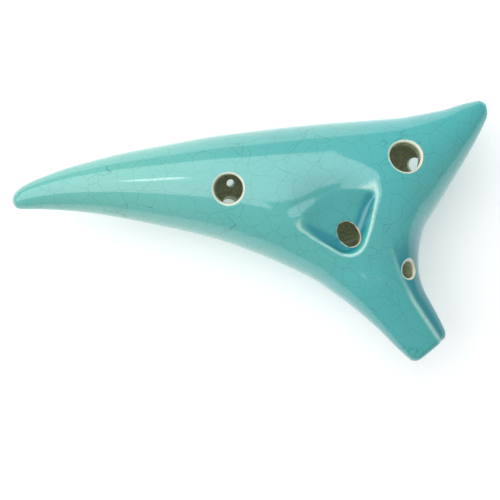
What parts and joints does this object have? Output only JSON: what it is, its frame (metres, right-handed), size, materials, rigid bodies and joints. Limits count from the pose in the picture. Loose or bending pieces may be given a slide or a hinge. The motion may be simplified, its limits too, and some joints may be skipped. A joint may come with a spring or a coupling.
{
  "type": "ocarina",
  "caption": "Transverse ocarina in alto C: a glazed clay horn chamber with a side mouthpiece, a fan-shaped voicing scoop, finger and thumb holes and a strap hole",
  "frame": {"origin": "on the surface that the ocarina lies on, finger side down, under the centre of its bounding box", "axes": "+X from the tail tip to the head tip, +Y from the mouthpiece side to the far edge, +Z from the finger side to the thumb side"},
  "size_m": [0.188, 0.1012, 0.0466],
  "materials": {
    "glaze": "glossy turquoise crackle glaze over a cream slip, bare olive-brown clay inside the chamber",
    "bare_clay": "unglazed olive-brown stoneware"
  },
  "bodies": {
    "root": {"back_shell": "glaze", "front_shell": "glaze", "voicing_block": "glaze", "windway_roof": "glaze", "windway_floor": "glaze", "seam_coil": "bare_clay"}
  },
  "joints": []
}
